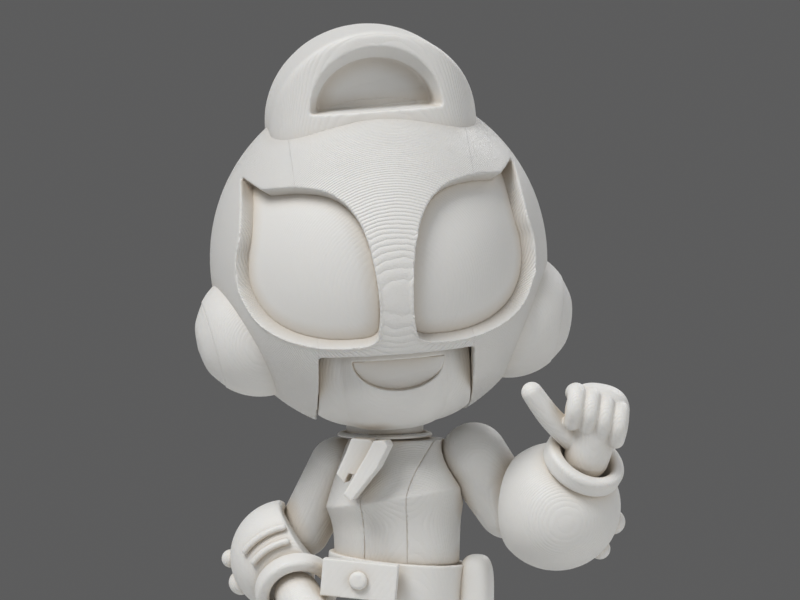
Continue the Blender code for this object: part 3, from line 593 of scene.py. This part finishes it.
def helmet():
    """One shell with soft edges at its openings, then parted along crisp seams."""
    inside = ellipsoid("helmet_inside", shrunk(HELMET, HELMET_WALL), HEAD)
    mouth = block("mouth_tool", (-MOUTH_HALF, -LONG, -LONG), (MOUTH_HALF, -4, MOUTH_TOP), HEAD)
    neck_hole = block("neck_tool", *NECK_HOLE, HEAD)
    rims = [lens_rim("rim_" + name, side) for name, side in SIDES]
    cuts = [inside, mouth, neck_hole, crest_pocket("helmet_pocket")]
    cuts += [lens_tool("lens_cut_" + name, side, 1.0) for name, side in SIDES]
    blank = ellipsoid("helmet_blank", HELMET, HEAD, steps=HELMET_STEPS)
    whole = formed("helmet_whole", blank, joins=rims, cuts=cuts, voxel=HELMET_VOXEL, smooth=4)
    tools.append(whole)
    clear_front = front_zone("front_zone_clear", SEAM)
    zones = {"front": ([front_zone("front_zone", -SEAM)], [])}
    for name, side in SIDES:
        low, high = sorted((side, side * LONG))
        half = block("half_" + name, (low, -LONG, -LONG), (high, HELMET_SPLIT - SEAM, LONG), HEAD)
        zones["side_" + name] = ([half], [clear_front])
    rear = block("rear_half", (-LONG, HELMET_SPLIT + SEAM, -LONG), (LONG, LONG, LONG), HEAD)
    zones["back"] = ([rear], [])
    for name, (keeps, zone_cuts) in zones.items():
        blank = copied("blank_" + name, whole)
        shell = formed(f"helmet_{name}_shell", blank, keeps=keeps, cuts=zone_cuts, voxel=0, smooth=0)
        shell.data.set_sharp_from_angle(angle=math.radians(SHARP_DEGREES))
        finish_piece(shell, "head", "helmet", "helmet_" + name)


def copied(name, obj):
    """Another object with its own copy of obj's mesh, to be cut up."""
    made = bpy.data.objects.new(name, obj.data.copy())
    bpy.context.scene.collection.objects.link(made)
    tools.append(made)
    return made


def lenses():
    """A curved panel sunk in each lens opening."""
    outer = shrunk(HELMET, LENS_SET_BACK)
    for name, side in SIDES:
        lens = formed(
            f"lens_{name}_panel",
            ellipsoid("lens_blank", outer, HEAD, steps=HELMET_STEPS),
            keeps=[lens_tool("lens_keep", side, 1.012)],
            cuts=[ellipsoid("lens_hollow", shrunk(outer, LENS_WALL), HEAD)],
            smooth=1,
        )
        finish_piece(lens, "head", "lens", "lens_" + name)


def face():
    """The chin and cheeks, rounded back to the throat, with a smile sunk in it."""
    limits = block("face_limits", (-FACE_FILL, -LONG, -LONG), (FACE_FILL, FACE_BACK, FACE_TOP), HEAD)
    cheeks = ellipsoid("cheeks", CHEEKS, HEAD, centre=FACE_CENTRE, power=FACE_POWER)
    smile = [(x + SMILE_SHIFT, z) for x, z in half_moon(*SMILE)]
    chin = formed(
        "face_plate_shell",
        ellipsoid("face_blank", FACE, HEAD, centre=FACE_CENTRE, power=FACE_POWER),
        joins=[cheeks],
        keeps=[limits],
        cuts=[prism("smile_cut", smile, -LONG, SMILE_FLOOR, HEAD)],
        voxel=FINE_VOXEL,
        smooth=6,
    )
    finish_piece(chin, "head", "face", "face_plate")
    base = SMILE[1]
    inner = [(x * INLAY[0] + INLAY_SHIFT, base - INLAY_DROP + (z - base) * INLAY[1]) for x, z in smile]
    inlay = formed("mouth_inlay_panel", prism("inlay", inner, *INLAY_DEPTHS, HEAD), voxel=0.1)
    finish_piece(inlay, "head", "mouth", "mouth_inlay")


def crest():
    """The arch on top: a half-moon block that follows the helmet, with a sunk hand-hold pocket."""
    arch = prism("arch", half_moon(CREST_HALF, CREST_BASE, CREST_RISE, CREST_DROP), -LONG, CREST_BACK, HEAD)
    loops = []
    for height in (LONG, 0):
        loop = []
        for x, y, z in ring(1, 1, height, 128):
            size = (abs(x) ** CREST_POWER + abs(y) ** CREST_POWER) ** (1 / CREST_POWER)
            loop.append((x / size * (CREST_HALF + 0.3), y / size * CREST_FRONT, z))
        loops.append(loop)
    footprint = skin("footprint", loops, HEAD)
    rough = formed("rough_crest", arch, keeps=[footprint], voxel=0.25, smooth=34)
    tools.append(rough)
    seat = ellipsoid("crest_seat", shrunk(HELMET, 0.3), HEAD)
    pocket = crest_pocket("crest_pocket")
    body = formed("crest_arch", rough, cuts=[seat, pocket], voxel=0.16, smooth=5)
    finish_piece(body, "head", "crest", "crest")


def ears():
    """Each ear pod is a round shell, with a domed cap set a little into its outer side."""
    for name, side in SIDES:
        down = math.radians(EAR_TILT)
        axis = HEAD.to_3x3() @ Vector((side * math.cos(down), 0, -math.sin(down)))
        place = at(HEAD @ Vector((side * EAR_AT[0], EAR_AT[1], EAR_AT[2])), facing(axis))
        rim_r = math.sqrt(EAR_R**2 - EAR_CAP_AT**2)
        lean = math.degrees(math.asin(EAR_CAP_AT / EAR_R))
        profile = [(0, EAR_CAP_AT)] + arc((0, 0), EAR_R, lean, -25, 32) + [EAR_FOOT, (0, EAR_FOOT[1])]
        shell = formed(f"ear_ring_{name}_shell", lathe("ear_ring", profile, place), voxel=0.16, smooth=2)
        finish_piece(shell, "head", "ears", "ear_ring_" + name)
        inner = rim_r - EAR_CAP_GAP
        crown = [(0, EAR_R - 0.1), (inner * 0.55, EAR_R - 0.55), (inner, EAR_CAP_AT)]
        dome = smoothed(crown, 8, closed=False)
        cap = dome + [(inner, EAR_CAP_AT - 1), (0, EAR_CAP_AT - 1)]
        shell = formed(f"ear_cap_{name}_shell", lathe("ear_cap", cap, place), voxel=0.16, smooth=2)
        finish_piece(shell, "head", "ears", "ear_cap_" + name)


# ---------------------------------------------------------------- torso


def jacket_loops(shrink=0.0, count=128):
    """Level loops of the jacket, close together, with its crease under the chest left sharp."""
    rings = [tuple(v - (shrink if k else 0) for k, v in enumerate(r)) for r in JACKET_RINGS]
    marked = [r + (("corner",) if i == CREASE else ()) for i, r in enumerate(rings)]
    crease, top, bottom = rings[CREASE][0], rings[0][0], rings[-1][0]
    loops = []
    for height, half_width, front, back in smoothed(marked, 6, closed=False):
        far = top if height > crease else bottom
        lift = CREASE_SLOPE * (height - far) / (crease - far)
        loop = []
        for i in range(count):
            angle = 2 * math.pi * i / count
            depth = front if math.sin(angle) < 0 else back
            x = half_width * math.cos(angle)
            loop.append((x, depth * math.sin(angle), height + lift * x))
        loops.append(loop)
    return loops


def strip_zone(name, grow):
    """The front strip between the two front seams, which open out towards the collar."""
    half = [(2.6, 24.0), (2.6, 34.0), (2.8, 38.6), (3.6, 42.0), (5.6, 46.5), (7.0, 48.0)]
    edge = smoothed(half, 5, closed=False)
    outline = [(-(x + grow), z) for x, z in edge] + [(x + grow, z) for x, z in reversed(edge)]
    return prism(name, outline, -LONG, 0, TORSO)


def sleeve(name, side_name, grow=0.0):
    arm = ARMS[side_name]
    shoulder = joint_at("arm_raise_" + side_name)
    elbow = joint_at("elbow_" + side_name)
    length = (shoulder - elbow).length
    top, low = arm["shoulder_r"] + grow, arm["elbow_r"] + grow
    lean = math.degrees(math.asin((top - low) / length))
    profile = arc((0, 0), top, 90, lean) + arc((0, -length), low, lean, -90)
    return lathe(name, profile, at(shoulder, facing(shoulder - elbow)), steps=72)


def jacket():
    """Four panels: the front strip, two sides and a back."""
    reliefs = {name: sleeve("relief_" + name, name, CLEAR) for name, _ in SIDES}
    hem_at = BELT_HEIGHT / 2 + HEM_ABOVE_BELT
    hem = block("hem", (-LONG, -LONG, -LONG), (LONG, LONG, hem_at), BELT)
    lap = PANEL_SPLIT + PANEL_LAP
    left = block("zone_left", (PANEL_MIDDLE, -LONG, 0), (LONG, lap, LONG), TORSO)
    right = block("zone_right", (-LONG, -LONG, 0), (-PANEL_MIDDLE, lap, LONG), TORSO)
    rear = block("zone_back", (-LONG, PANEL_SPLIT, 0), (LONG, LONG, LONG), TORSO)
    panels = {
        "front": ([strip_zone("strip", 0.0)], []),
        "left": ([left], ["left"]),
        "right": ([right], ["right"]),
        "back": ([rear], ["left", "right"]),
    }
    clear_strip = strip_zone("strip_clear", -PANEL_LAP)
    for name, (zones, arms) in panels.items():
        cuts = [hem] + [reliefs[arm] for arm in arms]
        if name in ("left", "right"):
            cuts.append(clear_strip)
        blank = skin("jacket_blank", jacket_loops(), TORSO)
        panel = formed(f"jacket_{name}_panel", blank, keeps=zones, cuts=cuts, voxel=0.16, smooth=2)
        finish_piece(panel, "torso", "jacket", "jacket_" + name)


def neck():
    """The visible neck and the ball on it, and the thin collar round its foot."""
    profile = arc((0, 0), 3.7, 90, -52) + [(2.0, -4.4), (2.0, -5.6), (3.8, -6.5), (4.6, -7.1)]
    profile += [(4.6, -9.0), (2.0, -9.0), (2.0, -11.9), (0, -11.9)]
    post = formed("neck_post_turned", lathe("neck", profile, at(PIVOT)), voxel=0.16, smooth=3)
    finish_piece(post, "neck", "face", "neck_post")
    profile = [(4.85, -9.0), (5.3, -9.0), (5.6, -9.2), (5.7, -9.5), (4.85, -9.5), (4.85, -9.0)]
    rim = formed("collar_rim", lathe("collar", profile, at(PIVOT)), voxel=FINE_VOXEL, smooth=2)
    finish_piece(rim, "torso", "jacket", "collar")


def scarf():
    """A folded scarf end lying on the right front panel, and a tail that crosses it."""
    place = TORSO @ at((0, SCARF_OUT, 0))
    wide = [(-1.0, 45.9), (-3.2, 46.0), (-3.9, 44.2), (-5.0, 41.8), (-4.4, 41.1), (-4.0, 40.7)]
    wide += [(-3.5, 41.9), (-2.4, 41.5), (-0.4, 45.4)]
    groove = block("fold", (-3.7, -2.0, 43.75), (-1.6, -0.9, 44.0), place @ turned("Y", 4))
    end = formed("scarf_end_fold", prism("wide", wide, -1.3, 1.5, place), cuts=[groove], voxel=0.1, smooth=3)
    finish_piece(end, "torso", "scarf", "scarf_end")
    tail = [(1.0, 45.9), (-0.3, 45.8), (-1.1, 44.3), (-3.9, 39.5), (-3.0, 38.7), (0.1, 42.6), (1.4, 45.2)]
    strip = formed("scarf_tail_strip", prism("tail", tail, -2.3, 0.9, place), voxel=0.1, smooth=3)
    finish_piece(strip, "torso", "scarf", "scarf_tail")


def belt():
    """A band round the hips, a wide buckle plate with a plain round boss, and a pouch."""
    half = BELT_HEIGHT / 2
    loops = {}
    for name, wall in (("out", BELT_WALL), ("in", 0.0)):
        for height in (half, -half):
            loop = []
            for i in range(128):
                angle = 2 * math.pi * i / 128
                depth = BELT_INNER[1] if math.sin(angle) < 0 else BELT_INNER[2]
                x, y = (BELT_INNER[0] + wall) * math.cos(angle), (depth + wall) * math.sin(angle)
                loop.append((x, y, height))
            loops[name, height] = loop
    order = [("out", half), ("out", -half), ("in", -half), ("in", half), ("out", half)]
    band = closed_skin("band", [loops[key] for key in order], BELT)
    finish_piece(formed("belt_band", band, voxel=0.16, smooth=2), "torso", "belt", "belt")
    plate = block("plate", (-4.6, -1.2, -half), (4.3, 0.6, half), BUCKLE)
    slot = block("slot", (-0.62, -1.6, -half - 1), (-0.5, -1.05, half + 1), BUCKLE)
    plate = formed("buckle_plate", plate, cuts=[slot], voxel=0.1, smooth=3)
    finish_piece(plate, "torso", "belt", "buckle")
    dome = [(0, 0.75), (0.7, 0.72), (0.95, 0.6), (1.1, 0.35), (1.1, -0.3), (0, -0.3)]
    toward = BUCKLE @ at((-0.2, -1.2, 0)) @ turned("X", 90)
    boss = formed("buckle_boss_stud", lathe("boss", dome, toward, steps=48), voxel=0.08, smooth=2)
    finish_piece(boss, "torso", "belt", "buckle_boss")
    pouch = ellipsoid("pouch", POUCH, TORSO @ at(POUCH_AT), centre=(0.8, 0, 0.5), power=3.2)
    finish_piece(formed("hip_pouch_case", pouch, smooth=4), "torso", "belt", "hip_pouch")


def closed_skin(name, loops, matrix):
    """Faces between loops where the last loop is the first one again."""
    made = bmesh.new()
    rows = [[made.verts.new(point) for point in loop] for loop in loops[:-1]]
    for upper, lower in zip(rows, rows[1:] + rows[:1]):
        for i in range(len(upper)):
            j = (i + 1) % len(upper)
            made.faces.new((upper[i], lower[i], lower[j], upper[j]))
    return solid(name, made, matrix)


# ---------------------------------------------------------------- arms


def bulb_place(side_name):
    """Where the gauntlet's middle is, with Z towards the cuff."""
    wrist = joint("wrist_turn_" + side_name)
    axis = Vector(wrist["axis"])
    back = ARMS[side_name]["cuff_at"] + CUFF_HEIGHT - 0.4
    return at(joint_at("wrist_turn_" + side_name) - axis * back, facing(axis))


def gauntlet(name, side):
    arm = ARMS[name]
    place = bulb_place(name)
    body, slot = "forearm_" + name, "gauntlets"
    radius, top = arm["bulb_r"], arm["cuff_at"]
    lean = math.degrees(math.asin(top / radius))
    profile = [(0, 2.6), (CUFF_BORE, 2.6), (CUFF_BORE, top)] + arc((0, 0), radius, lean, -90, 48)
    entry = at(place.translation, facing(arm["cut_axis"]))
    cuts = [block("entry", (-LONG, -LONG, arm["cut_at"]), (LONG, LONG, LONG), entry)]
    rim = math.sqrt(radius**2 - arm["cut_at"] ** 2)
    well = [(0, 2), (rim - 0.7, 2), (rim - 0.7, 0.1), (rim - 1.2, -0.5), (0, -0.5)]
    cuts.append(lathe("well", well, entry @ at((0, 0, arm["cut_at"]))))
    cuts.append(sleeve("elbow_relief", name, CLEAR))
    if side < 0:
        cuts.append(block("hip_side", (HIP_SIDE, -LONG, 0), (LONG, LONG, LONG), PELVIS))
    bulb = formed(f"gauntlet_{name}_shell", lathe("bulb", profile, place), cuts=cuts, smooth=3)
    finish_piece(bulb, body, slot, "gauntlet_" + name)

    high, low, edge = top + CUFF_HEIGHT, top - 0.1, 0.55
    ring_profile = [(CUFF_BORE, low), (CUFF_BORE, high - edge)]
    ring_profile += arc((CUFF_BORE + edge, high - edge), edge, 180, 90, 5)[1:]
    ring_profile += arc((CUFF_R - edge, high - edge), edge, 90, 0, 5)
    ring_profile += arc((CUFF_R - edge, low + edge), edge, 0, -90, 5) + [(CUFF_BORE, low)]
    cuff = formed(f"cuff_{name}_ring", lathe("cuff", ring_profile, place), voxel=FINE_VOXEL, smooth=2)
    finish_piece(cuff, body, slot, "cuff_" + name)

    for letter, (direction, knob_r) in zip("ab", arm["knobs"]):
        seat = at(place.translation, facing(direction))
        foot = radius - 1.6
        dome = arc((0, radius + KNOB_OUT - knob_r), knob_r, 90, 0) + [(knob_r, foot), (0, foot)]
        knob = formed(f"knob_{letter}_{name}_stud", lathe("knob", dome, seat, steps=48), voxel=0.1, smooth=2)
        finish_piece(knob, body, slot, f"knob_{letter}_{name}")


def vents():
    """Two curved bars on the right gauntlet, over the cuff."""
    place = bulb_place("right")
    radius = ARMS["right"]["bulb_r"] + VENT_LIFT
    for letter, angle in zip("ab", VENT_ANGLES):
        route = []
        for step in range(9):
            swing = math.radians(VENT_MIDDLE + VENT_SWEEP * (step / 8 - 0.5))
            rise = math.radians(angle)
            flat = radius * math.cos(rise)
            route.append((flat * math.cos(swing), flat * math.sin(swing), radius * math.sin(rise)))
        rod = tube("vent", route, (VENT_R, VENT_R), place)
        bar = formed(f"vent_{letter}_bar", rod, voxel=0.08, smooth=1)
        finish_piece(bar, "forearm_right", "gauntlets", "vent_bar_" + letter)


def hand(name, side):
    """A closed fist on a ball wrist, with four curled fingers and a thumb that stands out."""
    arm = ARMS[name]
    place = at(joint_at("wrist_turn_" + name), facing(arm["hand_axis"]))
    palm = ellipsoid("palm", arm["palm"], place, centre=arm["palm_at"], steps=48, power=2.4)
    joins = [ball("wrist_ball", WRIST_R, place)]
    joins.append(tube("wrist", [(0, 0, 0), (0.1, 0.2, 2.4), (0.3, 0.5, 4.8)], (2.7, 3.0), place))
    first, step, height = arm["knuckles"]
    for i in range(4):
        x = side * (first + step * i)
        top = height - 0.5 * i - (0.2 if i == 0 else 0.0)
        route = [(x, 1.2, top - 1.0), (x, -0.9, top - 0.2), (x + 0.1 * side, -2.1, top - 1.6)]
        route.append((x + 0.15 * side, -1.6, top - 3.5))
        joins.append(tube(f"finger_{i}", route, (arm["finger_r"], arm["finger_r"] - 0.09), place))
    joins.append(tube("thumb", arm["thumb"], (1.55, 1.25), place))
    fist = formed(f"hand_{name}_fist", palm, joins=joins, voxel=0.11, smooth=5)
    finish_piece(fist, "hand_" + name, "hands", "hand_" + name)


def arms():
    for name, side in SIDES:
        limb = formed(f"upper_arm_{name}_sleeve", sleeve("limb", name), smooth=1)
        finish_piece(limb, "upper_arm_" + name, "sleeves", "upper_arm_" + name)
        gauntlet(name, side)
        hand(name, side)
    vents()


# ---------------------------------------------------------------- legs


def legs():
    sockets = []
    for name, side in SIDES:
        hip, knee, ankle = (joint_at(f"{j}_{name}") for j in ("hip_swing", "knee", "ankle_turn"))
        sockets.append(ball("hip_socket", HIP_BALL + CLEAR, at(hip)))
        thigh(name, hip, knee)
        boot(name, knee, ankle)
        shoe(name, side, ankle)
    blank = block("pelvis_blank", (-6.6, -3.8, 20.9), (6.6, 4.2, PELVIS_TOP), PELVIS)
    round_in = formed("pelvis_soft", blank, voxel=0.25, smooth=30)
    tools.append(round_in)
    spigot = lathe("spigot", [(0, 35.0), (2.4, 35.0), (2.4, 24.0), (0, 24.0)], PELVIS)
    hips = formed("pelvis_block", round_in, joins=[spigot], cuts=sockets, voxel=0.16, smooth=2)
    finish_piece(hips, "pelvis", "legs", "pelvis")


def thigh(name, hip, knee):
    length = (hip - knee).length
    lean = math.degrees(math.asin((HIP_BALL - KNEE_BALL) / length))
    profile = arc((0, 0), HIP_BALL, 90, lean) + arc((0, -length), KNEE_BALL, lean, -90)
    limb = formed(f"thigh_{name}_limb", lathe("thigh", profile, at(hip, facing(hip - knee))), smooth=1)
    finish_piece(limb, "thigh_" + name, "legs", "thigh_" + name)


def boot(name, knee, ankle):
    centre = Vector((ankle.x, ankle.y, BOOT_MIDDLE))
    place = at(centre)
    top = knee.z - BOOT_MIDDLE
    rim = block("rim", (-LONG, -LONG, top - 0.4), (LONG, LONG, LONG), place)
    flat = block("flat", (-LONG, -LONG, -LONG), (LONG, LONG, BOOT_FLAT), place)
    well = ball("well", KNEE_BALL + CLEAR, at(knee))
    peg = lathe("peg", [(0, -2), (1.8, -2), (1.8, -6.4), (0, -6.4)], place)
    blank = ellipsoid("boot_blank", BOOT, place)
    cut = formed("boot_cut", blank, cuts=[well, rim, flat], voxel=0, smooth=0)
    tools.append(cut)
    shell = formed(f"boot_{name}_shell", cut, joins=[peg], smooth=2)
    finish_piece(shell, "shin_" + name, "boots", "boot_" + name)
    bore, outer, low, high, edge = 3.8, 4.9, top - 0.4, top + 1.2, 0.5
    profile = [(bore, low)] + arc((bore + edge, high - edge), edge, 180, 90, 5)
    profile += arc((outer - edge, high - edge), edge, 90, 0, 5)
    profile += arc((outer - edge, low + edge), edge, 0, -90, 5) + [(bore, low)]
    ring_place = at((knee.x, knee.y, BOOT_MIDDLE))
    band = lathe("boot_ring", profile, ring_place)
    cuff = formed(f"boot_ring_{name}_ring", band, voxel=FINE_VOXEL, smooth=2)
    finish_piece(cuff, "shin_" + name, "boots", "boot_ring_" + name)


def shoe(name, side, ankle):
    place = at((ankle.x, ankle.y, 0), turned("Z", side * TOE_OUT))
    made = bmesh.new()
    bmesh.ops.create_cube(made, size=2)
    for vert in made.verts:
        toe, top = vert.co.y < 0, vert.co.z > 0
        vert.co.x *= (5.2 if toe else 4.9) if not top else 4.6
        vert.co.y = -12.2 if toe else 7.6
        vert.co.z = (6.4 if toe else 8.4) if top else -0.6
    blank = solid("shoe_blank", made, place)
    soft = blank.modifiers.new("soft", "SUBSURF")
    soft.levels = soft.render_levels = 5
    under = block("under", (-LONG, -LONG, -LONG), (LONG, LONG, SOLE_HEIGHT + 0.06), place)
    seat = block("seat", (-LONG, -5.4, BOOT_MIDDLE + BOOT_FLAT - CLEAR), (LONG, LONG, LONG), place)
    hole = lathe("ankle_hole", [(0, 9), (2.1, 9), (2.1, 3.1), (0, 3.1)], place)
    upper = formed(f"shoe_{name}_upper", blank, cuts=[under, seat, hole], smooth=2)
    finish_piece(upper, "foot_" + name, "boots", "shoe_" + name)
    half = [(2.2, -9.4), (4.2, -7.6), (4.7, -3.0), (4.2, 1.6), (3.8, 4.8), (2.0, 6.2)]
    edge = smoothed(half, 6, closed=False)
    outline = [(-x, y) for x, y in edge] + [(x, y) for x, y in reversed(edge)]
    loops = [[(x, y, z) for x, y in outline] for z in (0, SOLE_HEIGHT)]
    sole = formed(f"sole_{name}_plate", skin("sole", loops, place), voxel=0.14, smooth=2)
    low = min(vert.co.z for vert in sole.data.vertices)
    sole.data.transform(Matrix.Translation((0, 0, -low)))
    finish_piece(sole, "foot_" + name, "boots", "sole_" + name)


# ---------------------------------------------------------------- stage


def cad_pieces():
    """The inner pieces stay as the CAD made them, in the same plastic."""
    for name in ("head_core", "torso_core", "shoulder_left", "shoulder_right"):
        obj = frame["nodes"][name]
        obj.data.materials.clear()
        obj.data.materials.append(printed_plastic("inner_" + name))


def plain(name, colour, roughness):
    material = bpy.data.materials.new(name)
    material.use_nodes = True
    shader = material.node_tree.nodes["Principled BSDF"]
    shader.inputs["Base Color"].default_value = (*colour, 1)
    shader.inputs["Roughness"].default_value = roughness
    return material


def floor():
    made = bmesh.new()
    bmesh.ops.create_circle(made, cap_ends=True, segments=128, radius=200)
    disc = solid("floor", made, Matrix())
    tools.remove(disc)
    disc.data.materials.append(plain("pale_floor", (0.62, 0.62, 0.61), 0.8))


def light(name, place, size, watts, colour, target):
    data = bpy.data.lights.new(name, "AREA")
    data.shape = "DISK"
    data.size = size * MM
    data.energy = watts
    data.color = colour
    obj = bpy.data.objects.new(name, data)
    bpy.context.scene.collection.objects.link(obj)
    obj.location = Vector(place) * MM
    obj.rotation_euler = (target - obj.location).to_track_quat("-Z", "Y").to_euler()


def studio():
    """A large soft key from the upper left, a grey backdrop, and a paler surround that lights it."""
    target = (PIVOT + Vector((0, 0, 5))) * MM
    light("key", (-370, -440, 770), 440, 6.3, (1.0, 0.99, 0.975), target)
    light("fill", (620, -420, 160), 520, 1.1, (1.0, 0.99, 0.97), target)
    light("low_fill", (-100, -600, -40), 500, 0.15, (1.0, 0.98, 0.95), target)
    light("rim", (300, 520, 380), 300, 1.2, (1, 1, 1), target)
    world = bpy.data.worlds.new("grey_studio")
    world.use_nodes = True
    tree = world.node_tree
    seen = tree.nodes["Background"]
    seen.inputs["Color"].default_value = (*BACKDROP, 1)
    around = node(tree, "ShaderNodeBackground")
    around.inputs["Color"].default_value = (*SURROUND, 1)
    choose = node(tree, "ShaderNodeMixShader")
    tree.links.new(node(tree, "ShaderNodeLightPath").outputs["Is Camera Ray"], choose.inputs[0])
    tree.links.new(around.outputs[0], choose.inputs[1])
    tree.links.new(seen.outputs[0], choose.inputs[2])
    tree.links.new(choose.outputs[0], tree.nodes["World Output"].inputs["Surface"])
    bpy.context.scene.world = world
    bpy.context.scene.view_settings.view_transform = "Standard"


def camera():
    data = bpy.data.cameras.new("camera")
    data.lens = LENS_MM
    data.sensor_width = 36
    data.clip_start = 0.01
    obj = bpy.data.objects.new("camera", data)
    bpy.context.scene.collection.objects.link(obj)
    aim = PIVOT + Vector(AIM)
    rise = math.radians(CAMERA_RISE)
    away = Vector((0, -math.cos(rise), math.sin(rise))) * CAMERA_DISTANCE
    obj.location = (aim + away) * MM
    obj.rotation_euler = (-away).to_track_quat("-Z", "Y").to_euler()
    bpy.context.scene.camera = obj


def main():
    camera()
    studio()
    floor()
    for build in (helmet, lenses, face, crest, ears, jacket, neck, scarf, belt, arms, legs):
        build()
        clear_tools()
    cad_pieces()


main()
